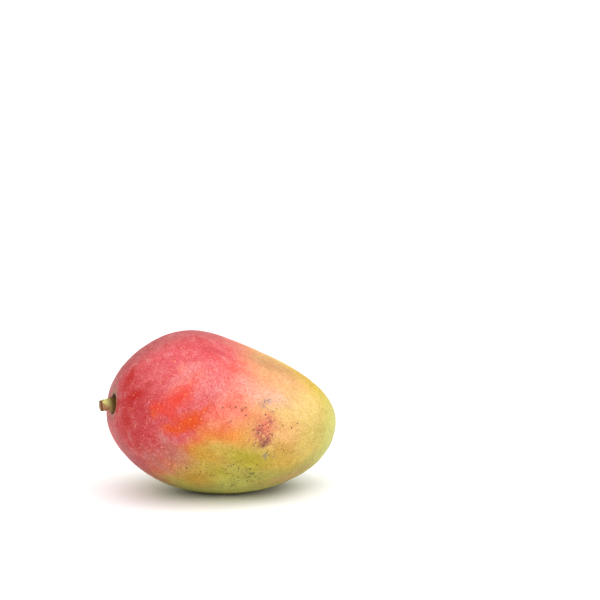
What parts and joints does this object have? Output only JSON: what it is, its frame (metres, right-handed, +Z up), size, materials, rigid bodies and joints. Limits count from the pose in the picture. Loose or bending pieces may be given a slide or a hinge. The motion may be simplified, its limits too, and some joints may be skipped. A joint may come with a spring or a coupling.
{
  "type": "mango",
  "caption": "Whole ripe mango with a red blush over yellow-green, lying on one cheek, the cut stub of its stem in the pit.",
  "frame": {"origin": "on the surface that the mango rests on, under the middle of its bounding box", "axes": "+X along the fruit's length towards its tip, with the stem at -X; +Y across it, towards the side with the sinus and the beak; +Z up, through the cheek that lies uppermost"},
  "size_m": [0.1224, 0.0876, 0.0822],
  "materials": {
    "skin": "satin",
    "bark": "matte"
  },
  "bodies": {
    "root": {"fruit": "skin", "stem": "bark"}
  },
  "joints": []
}
